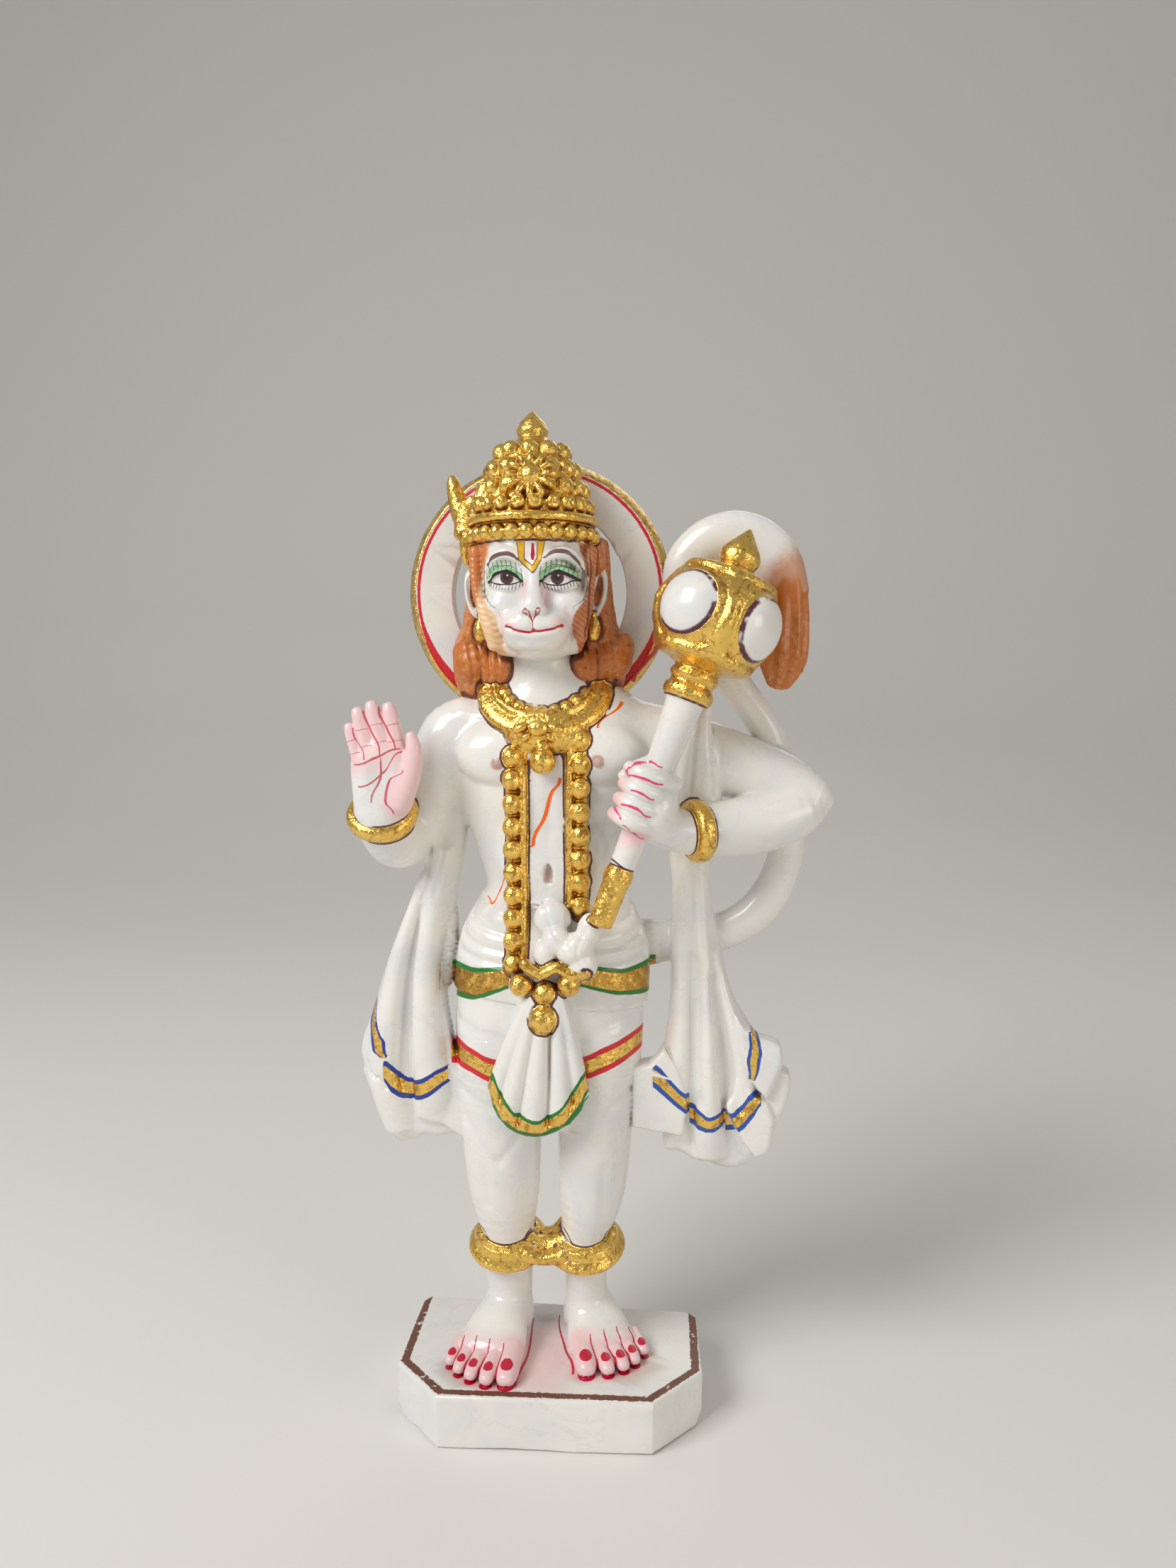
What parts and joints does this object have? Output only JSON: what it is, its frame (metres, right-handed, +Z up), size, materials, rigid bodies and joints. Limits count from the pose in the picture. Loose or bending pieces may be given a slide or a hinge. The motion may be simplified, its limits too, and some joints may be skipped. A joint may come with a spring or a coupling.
{
  "type": "hanuman figure",
  "caption": "Standing Hanuman carved in white marble with its plinth, painted and gilded: a crown and halo, a raised palm, a mace, a shawl and a curling tail.",
  "frame": {"origin": "middle of the plinth's underside", "axes": "+Z up from the plinth to the crown, +X to the figure's left, the figure faces -Y"},
  "size_m": [0.1479, 0.0579, 0.3055],
  "materials": {
    "marble": "polished white marble, painted and gilded"
  },
  "bodies": {
    "root": {"hanuman_figure": "marble"}
  },
  "joints": []
}
